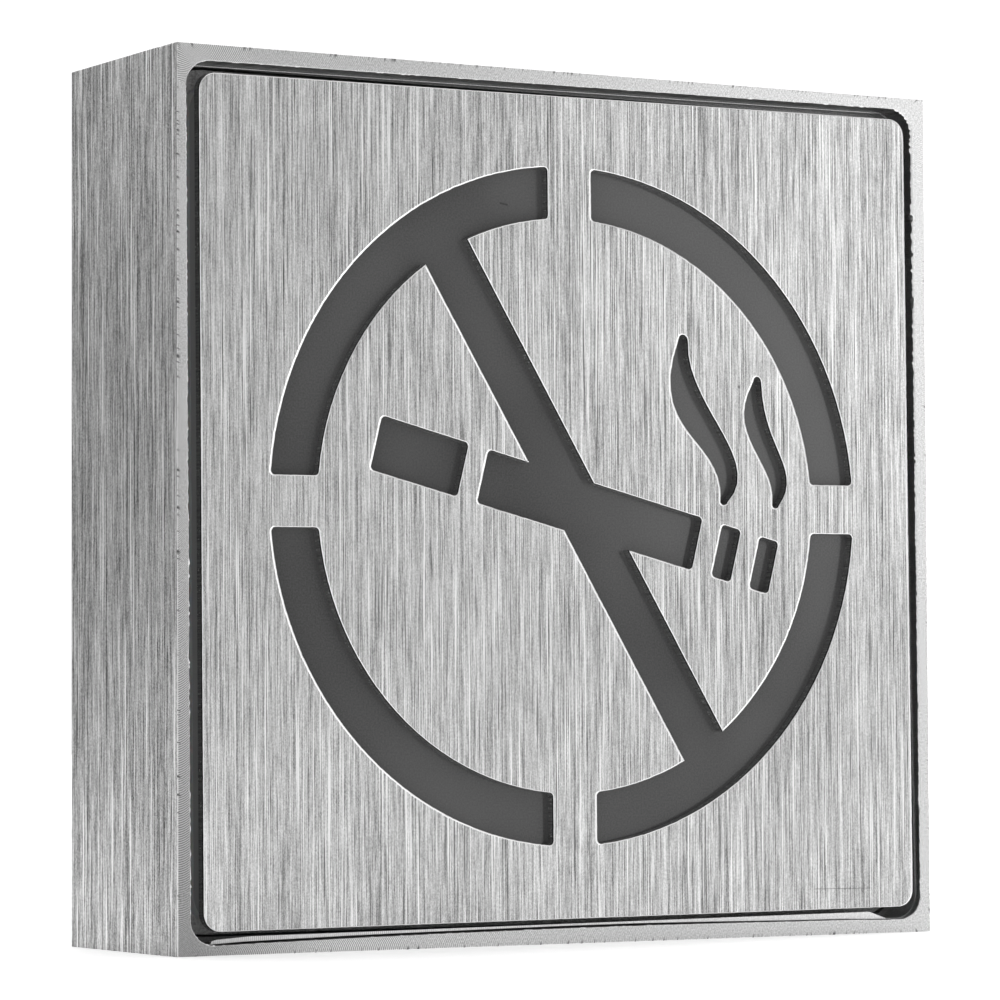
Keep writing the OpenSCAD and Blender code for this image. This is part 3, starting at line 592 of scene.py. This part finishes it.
def milled_housing():
    """The housing: a length of square tube whose front was faced and recessed with an end mill, which
    nicked the outer edges and left a ragged burr along the inner one."""
    rng = np.random.RandomState(7)
    outer, inner, along, side = rim_columns()
    height = outer[:, 1]
    n = len(outer)
    across = inner - outer
    width = np.linalg.norm(across, axis=1)
    across /= width[:, None]
    bow = bow_of_recess(side, along)
    inner = inner + across * bow[:, None]
    width = width + bow
    nick, edge, heavy, burr_and_painted_glint, torn = worn_edges(rng, side, height)
    groove, step = step_in_recess(side, along, bow)
    # The step lies deeper towards the top
    step_y = FRONT + np.interp(height, [-60, 0, 60], [1.2, 2.0, 4.2])
    # The rim's flat face ends where the burr and the chips begin
    face_width = width - edge - (0.14 + torn)
    # Painted glint over the burr, strongest where the burr is heaviest
    painted_glint = np.clip(0.45 + 0.5 * burr_and_painted_glint, 0, 1) * np.clip(heavy * 10, 0.2, 1)

    materials = [MILLED, BRUSHED_SIDE, BRUSHED_ENDS_PAINTED_DARKER, DRAWN, SAWN, MILLED_RECESS_PAINTED_DARKER]
    milled, outside, ends, drawn, sawn, wall = range(len(materials))
    rows, bands = [], []
    marks = {"feed": [], "nick": [], "burr_and_painted_glint": []}

    def row(base, inward, y, band, flat=False, feed=along, nick=0, burr_and_painted_glint=0):
        """Adds a row of points at depth y, moved inward from their base, with its marks. The band of
        faces from it to the next row has that finish, and is flat or rounded."""
        rows.append(moved_row(base, across, inward, y))
        bands.append((band, flat))
        for mark, values in (("feed", feed), ("nick", nick), ("burr_and_painted_glint", burr_and_painted_glint)):
            marks[mark].append(np.broadcast_to(values, n))

    # From the outside over the rim's broken edge and across its face
    row(outer, 0, JOIN, outside, flat=True)
    # The broken outer edge carries a painted glint
    row(outer, 0, FRONT + edge * 1.1, milled, nick=nick, burr_and_painted_glint=0.7)
    row(outer, edge * 0.3, FRONT + edge * 0.3, milled, nick=nick, burr_and_painted_glint=0.9)
    for share in RIM_SHARES:
        row(outer, edge + face_width * share, FRONT, milled, flat=share < 1,
            feed=cutter_travel(side, height, along, width, share), nick=nick if share == 0 else 0)
    # Over the burr and down the recess, with the groove and the step
    row(inner, -torn * 0.5 - 0.04 + burr_and_painted_glint * heavy * 0.3, FRONT + 0.02, milled, burr_and_painted_glint=painted_glint)
    row(inner, burr_and_painted_glint * heavy - torn, FRONT + 0.09 + 0.3 * torn, milled, burr_and_painted_glint=painted_glint * 0.8)
    row(inner, 0, FRONT + 0.26 + burr_and_painted_glint * heavy + torn, wall)
    row(inner, 0, step_y + 2 * groove, wall)
    # The step carries a painted glint
    row(inner, groove, step_y, milled, flat=True, burr_and_painted_glint=0.4)
    row(inner, groove + step, step_y, wall, burr_and_painted_glint=0.4)
    row(inner, -bow, JOIN, wall)

    level = np.abs(height) > HALF - 0.001
    faces, slots, flat = [], [], []
    for r, (band, is_flat) in enumerate(bands[:-1]):
        for i in range(n):
            j = (i + 1) % n
            faces.append((r * n + i, r * n + j, (r + 1) * n + j, (r + 1) * n + i))
            at_end = band == outside and level[i] and level[j]
            slots.append(ends if at_end else band)
            flat.append(is_flat)

    # The rest of the tube comes from the CAD node, cut off where this front end begins
    tube = welded("housing_frame")
    bmesh.ops.bisect_plane(tube, geom=tube.verts[:] + tube.edges[:] + tube.faces[:], dist=1e-5,
                           plane_co=(0, JOIN, 0), plane_no=(0, -1, 0), clear_outer=True)
    tube.verts.index_update()
    base = len(rows) * n
    points = np.concatenate([*rows, [tuple(v.co) for v in tube.verts]])
    for face in tube.faces:
        faces.append([base + v.index for v in face.verts])
        middle = face.calc_center_median()
        if max(abs(middle.x), abs(middle.z)) > HALF - 0.01:
            slots.append(ends if abs(face.normal.z) > 0.9 else outside)
        elif middle.y > -0.01:
            slots.append(sawn)
        else:
            slots.append(wall if middle.y < RECESS_Y + 0.01 else drawn)
        flat.append(max(abs(part) for part in face.normal) > 0.99)
    for mark in marks:
        marks[mark] = np.concatenate([*marks[mark], np.zeros(len(tube.verts))])
    tube.free()
    piece = mesh_piece("milled_housing", points, faces, materials, slots, flat, marks)
    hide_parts("housing_frame")
    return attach(piece, "root")


# The face plate

def front_outlines(shape, y):
    """Closed outlines of the flat face at that depth, as lists of (x, z), the longest first."""
    rim = {}
    for edge in shape.edges:
        if all(abs(v.co.y - y) < 0.001 for v in edge.verts) and len(edge.link_faces) == 2:
            if sum(abs(f.normal.y) > 0.9 for f in edge.link_faces) == 1:
                a, b = (v.index for v in edge.verts)
                rim.setdefault(a, []).append(b)
                rim.setdefault(b, []).append(a)
    shape.verts.ensure_lookup_table()
    loops, used = [], set()
    for start in rim:
        if start in used:
            continue
        loop, previous, here = [], None, start
        while here is not None and here not in used:
            used.add(here)
            loop.append((shape.verts[here].co.x, shape.verts[here].co.z))
            previous, here = here, next((v for v in rim[here] if v != previous and v not in used), None)
        loops.append(np.array(loop))
    return sorted(loops, key=lambda loop: -np.ptp(loop[:, 0]))


def signed_area(loop):
    """Area inside an outline, above zero where it runs round from X towards Z."""
    x, z = loop[:, 0], loop[:, 1]
    return 0.5 * np.sum(x * np.roll(z, -1) - np.roll(x, -1) * z)


def evenly(loop, spacing):
    """The outline with points added along it, its own corners kept."""
    points = []
    for a, b in zip(loop, np.roll(loop, -1, axis=0)):
        parts = max(1, int(round(np.linalg.norm(b - a) / spacing)))
        points += [a + (b - a) * k / parts for k in range(parts)]
    return np.array(points)


def brushed_face_plate():
    """The face plate: laser cut from brushed sheet, its front edges broken by a narrow bevel that wavers a
    little and carries a painted glint, its walls slightly uneven."""
    rng = np.random.RandomState(11)
    shape = welded("face_plate")
    loops = front_outlines(shape, FRONT)
    back = max(v.co.y for v in shape.verts)
    shape.free()
    materials = [BRUSHED_FACE, LASER_CUT, MILLED]
    brushed, laser_cut, bevel = range(len(materials))
    points, faces, slots, flat, burr_and_painted_glint = [], [], [], [], []
    front_rims, back_rims = [], []
    for k, loop in enumerate(loops):
        is_outside = k == 0
        if (signed_area(loop) > 0) != is_outside:
            loop = loop[::-1]
        loop = evenly(loop, PLATE_SPACING)
        n = len(loop)
        along = np.roll(loop, -1, axis=0) - np.roll(loop, 1, axis=0)
        along /= np.linalg.norm(along, axis=1)[:, None]
        metal = np.column_stack([-along[:, 1], along[:, 0]])
        rough = np.abs(wobble(rng, n, PLATE_SPACING, (0.5, 1.3), (0.012, 0.008)))
        drop = BROKEN + np.abs(wobble(rng, n, PLATE_SPACING, (0.6, 5), (0.015, 0.012)))
        # The deburring tool leaned over, so the bevel is widest where the metal ends to the right
        edge = drop + 0.22 * np.clip(-metal[:, 0], 0, 1) + 0.04 * np.clip(-metal[:, 1], 0, 1)
        # Rings of points down the wall: how far into the metal, how deep, and how strong the painted glint
        # on the bevel is. The bevels round the cut-outs get a stronger painted glint than the outside one.
        shine = 0.6 if is_outside else 1.0
        rings = [
            (rough + edge, FRONT, shine),
            (rough + edge * 0.35, FRONT + 0.35 * drop, 0.9),
            (rough, FRONT + drop, shine / 1.2),
            (0.8 * rough, FRONT + drop + 0.03, 0),
            (0.3 * rough, FRONT + 0.6, 0),
            (0.0 * rough, back, 0),
        ]
        base = len(points)
        for inward, y, bright in rings:
            points += moved_row(loop, metal, inward, y).tolist()
            burr_and_painted_glint += [bright] * n
        for r in range(len(rings) - 1):
            for i in range(n):
                j = (i + 1) % n
                faces.append((base + r * n + j, base + r * n + i,
                              base + (r + 1) * n + i, base + (r + 1) * n + j))
                slots.append(bevel if r < 2 else laser_cut)
                flat.append(False)
        front_rims.append(range(base, base + n))
        back_rims.append(range(len(points) - n, len(points)))

    # The flat front and back between the outlines
    for rims, finish_of_face, faces_wall in ((front_rims, brushed, False), (back_rims, laser_cut, True)):
        index = [i for rim in rims for i in rim]
        outlines = [[Vector((points[i][0], points[i][2], 0)) for i in rim] for rim in rims]
        for triangle in tessellate_polygon(outlines):
            a, b, c = (index[t] for t in triangle)
            p, q, r = (Vector(points[i]) for i in (a, b, c))
            towards_wall = (q - p).cross(r - p).y > 0
            faces.append((a, b, c) if towards_wall == faces_wall else (a, c, b))
            slots.append(finish_of_face)
            flat.append(True)
    marks = {"burr_and_painted_glint": burr_and_painted_glint, "nick": np.zeros(len(points)), "feed": np.zeros(len(points))}
    piece = mesh_piece("brushed_face_plate", points, faces, materials, slots, flat, marks)
    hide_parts("face_plate")
    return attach(piece, "root")


# Pieces that keep the CAD's shape

def soften_and_finish(node, material):
    """Gives the CAD node its finish, and softens its sharp edges as a deburring tool or a mould does."""
    node.data.materials.clear()
    node.data.materials.append(material)
    for kind, settings in (
        ("WELD", {"merge_threshold": 1e-6}),
        ("BEVEL", {"width": SOFTENED * MM, "segments": 2, "limit_method": "ANGLE",
                   "angle_limit": math.radians(40)}),
        ("WEIGHTED_NORMAL", {"keep_sharp": False}),
    ):
        modifier = node.modifiers.new(kind.lower(), kind)
        for name, value in settings.items():
            setattr(modifier, name, value)


# Floor, light and camera

def pale_floor(half, shade, glow):
    """A plain floor that glows a little, as a white sweep does under studio lamps."""
    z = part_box("housing_frame")[0].z
    mesh = bpy.data.meshes.new("studio_floor")
    mesh.from_pydata([(-half, -half, z), (half, -half, z), (half, half, z), (-half, half, z)], [],
                     [(0, 1, 2, 3)])
    material, tree, surface = blank("studio_floor", ior=1.5)
    surface.inputs["Base Color"].default_value = linear(shade)
    surface.inputs["Roughness"].default_value = 0.6
    surface.inputs["Emission Color"].default_value = (1, 1, 1, 1)
    surface.inputs["Emission Strength"].default_value = glow
    mesh.materials.append(material)
    piece = bpy.data.objects.new("studio_floor", mesh)
    bpy.context.scene.collection.objects.link(piece)


def softbox(name, place, towards, size, power):
    """A square lamp, in metres and watts."""
    lamp = bpy.data.lights.new(name, "AREA")
    lamp.shape = "SQUARE"
    lamp.size = size
    lamp.energy = power
    stand = bpy.data.objects.new(name, lamp)
    stand.location = place
    stand.rotation_euler = (Vector(towards) - Vector(place)).to_track_quat("-Z", "Y").to_euler()
    bpy.context.scene.collection.objects.link(stand)


def white_room(base, sweep):
    """Even grey light all round, and a white sweep behind the sign."""
    world = bpy.data.worlds.new("studio")
    world.use_nodes = True
    bpy.context.scene.world = world
    tree = world.node_tree
    behind = (0.5, 0.866, 0.0)
    towards = add(tree, "TexCoord").outputs["Generated"]
    facing = add(tree, "VectorMath", {0: towards, 1: behind}, operation="DOT_PRODUCT")
    share = add(tree, "MapRange", {"Value": facing.outputs["Value"], "From Min": 0.8, "From Max": 0.96})
    glow = add(tree, "MixRGB", {"Fac": share, "Color1": [base] * 3 + [1], "Color2": [sweep] * 3 + [1]})
    tree.links.new(glow.outputs[0], tree.nodes["Background"].inputs["Color"])


def place_camera(focal_px, place, yaw, pitch, roll):
    """The camera as solved from the sign's corners: its place in millimetres, its angles in degrees and
    its focal length in pixels, for an image 1000 pixels wide."""
    aim = (Matrix.Rotation(math.radians(yaw), 3, "Z") @ Matrix.Rotation(math.radians(pitch), 3, "X")
           @ Matrix.Rotation(math.radians(roll), 3, "Y"))
    right, forward, up = (aim.col[i].copy() for i in range(3))
    camera = bpy.data.objects.new("camera", bpy.data.cameras.new("camera"))
    camera.data.sensor_width = 36
    camera.data.lens = focal_px * 36 / 1000
    camera.data.clip_start = 0.01
    camera.matrix_world = Matrix.Translation(Vector(place) * MM) @ Matrix(
        (right, up, -forward)).transposed().to_4x4()
    bpy.context.scene.collection.objects.link(camera)
    bpy.context.scene.camera = camera


for name, material in FINISHES.items():
    soften_and_finish(nodes[name], material)
milled_housing()
brushed_face_plate()

pale_floor(half=2.5, shade="#f0f0f0", glow=0.4)
softbox("softbox_right", place=(0.31, -0.30, 0.12), towards=(0.03, 0, 0), size=0.25, power=0.25)
softbox("softbox_above", place=(0.1, -0.2, 0.9), towards=(0, 0, 0), size=0.9, power=1.75)
softbox("softbox_edge", place=(0.95, 0.14, 0.06), towards=(0, 0, 0), size=0.22, power=9)
softbox("softbox_left", place=(-0.75, -0.43, 0.25), towards=(0, 0, 0), size=0.35, power=0.6)
softbox("softbox_side", place=(-0.8, 1.39, 0.42), towards=(0, 0, 0), size=0.4, power=0.5)
softbox("softbox_behind", place=(0.8, 1.6, 1.5), towards=(0.8, 1.6, 0), size=3.2, power=46)
white_room(base=0.43, sweep=1.1)
place_camera(focal_px=4509, place=(-319.4, -563.8, -27.9), yaw=-30.14, pitch=2.66, roll=0.24)
bpy.context.scene.view_settings.view_transform = "Standard"
